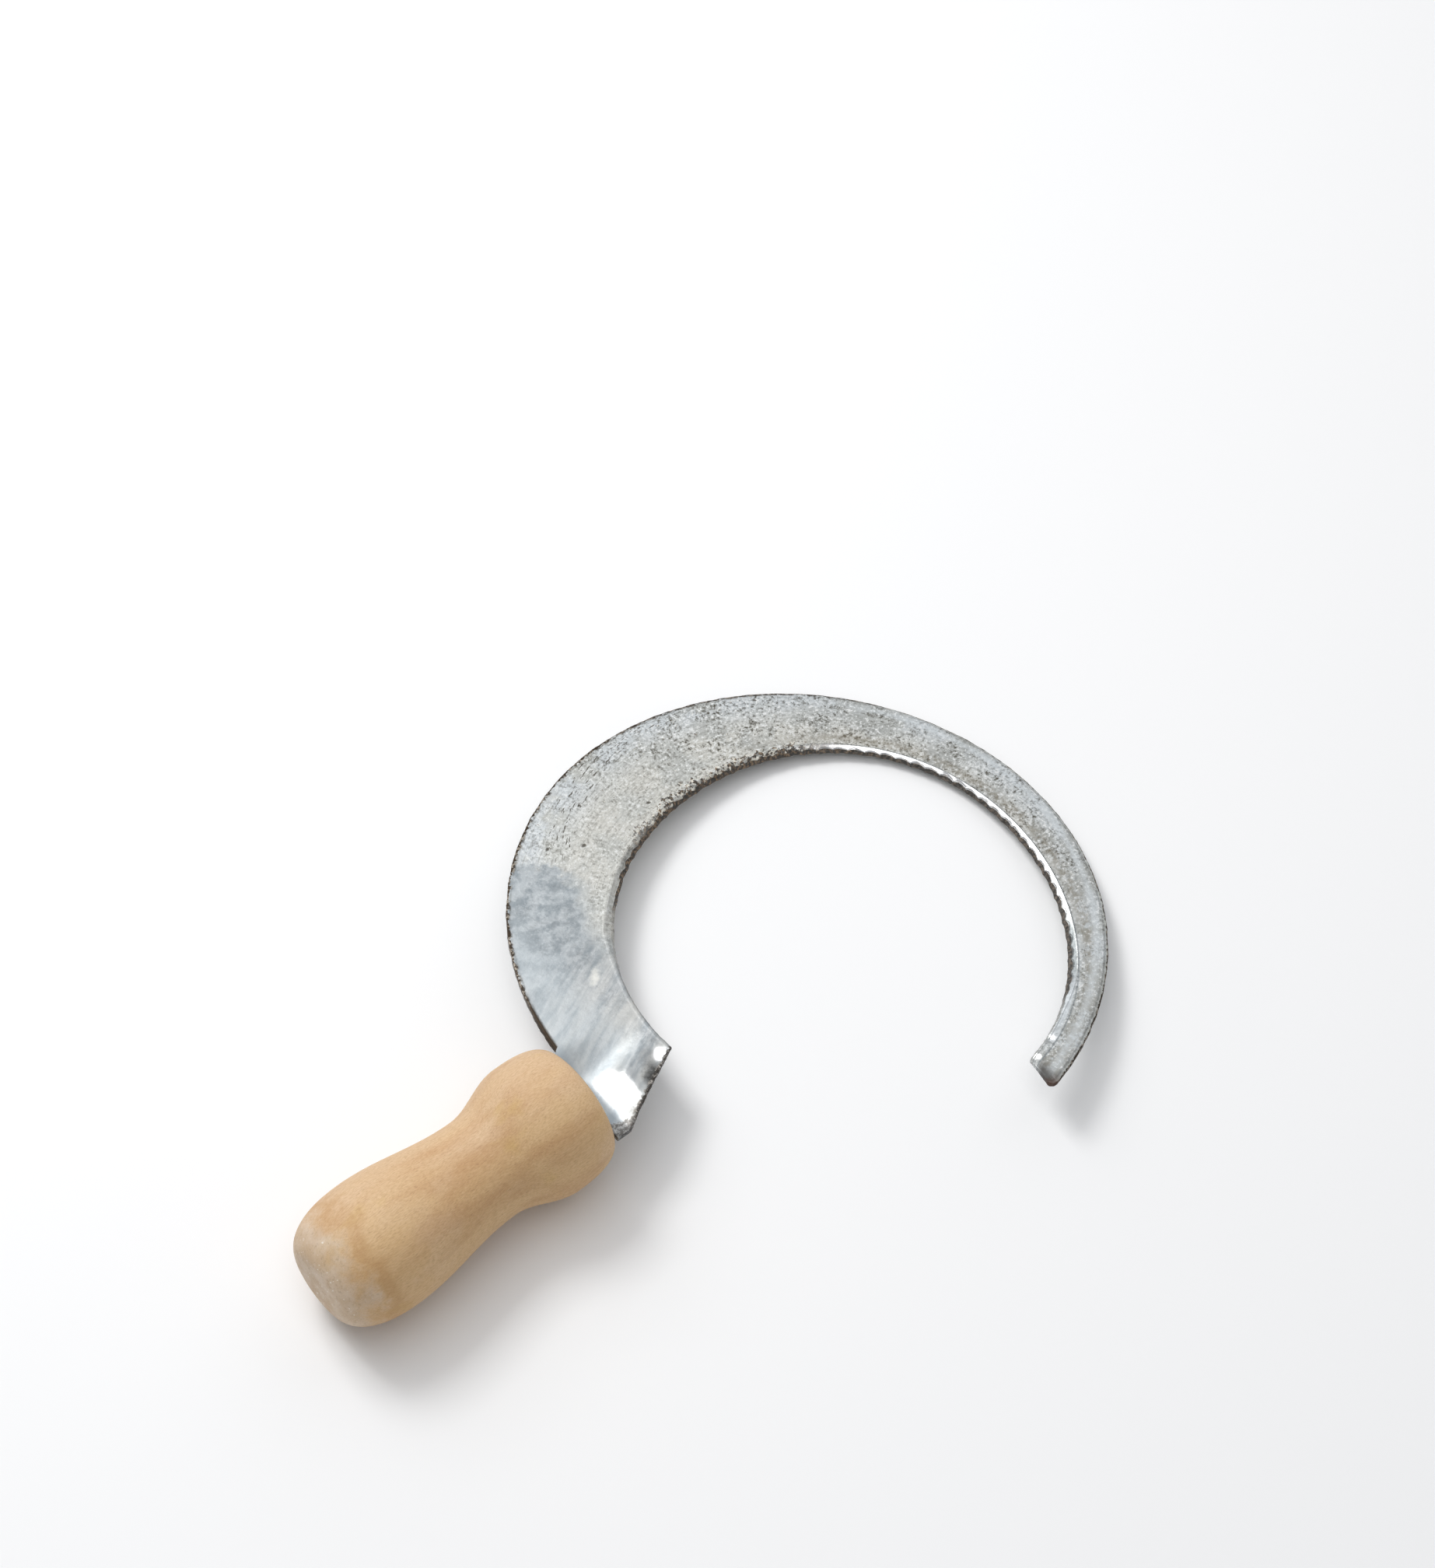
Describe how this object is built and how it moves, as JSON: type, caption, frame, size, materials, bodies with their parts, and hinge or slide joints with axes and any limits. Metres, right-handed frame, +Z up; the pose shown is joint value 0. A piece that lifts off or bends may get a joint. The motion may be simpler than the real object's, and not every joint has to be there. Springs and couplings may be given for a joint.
{
  "type": "hand sickle",
  "caption": "Small hand sickle: a forged, finely toothed C-shaped steel blade whose bent tang is driven into a short turned wooden handle.",
  "frame": {"origin": "centre of the bounding box's base, on the surface that the sickle lies on", "axes": "+X along the handle's axis, from the butt towards the blade; +Z up, away from the surface; +Y to the side that the blade curves out to"},
  "size_m": [0.2902, 0.187, 0.0446],
  "materials": {
    "forged_steel": "ground bright and worn, with fine scratches, dark pits and dirt along the teeth",
    "turned_beech": "bare turned beech, smooth from use, with a greyer butt end"
  },
  "bodies": {
    "root": {"blade": "forged_steel", "handle": "turned_beech"}
  },
  "joints": []
}
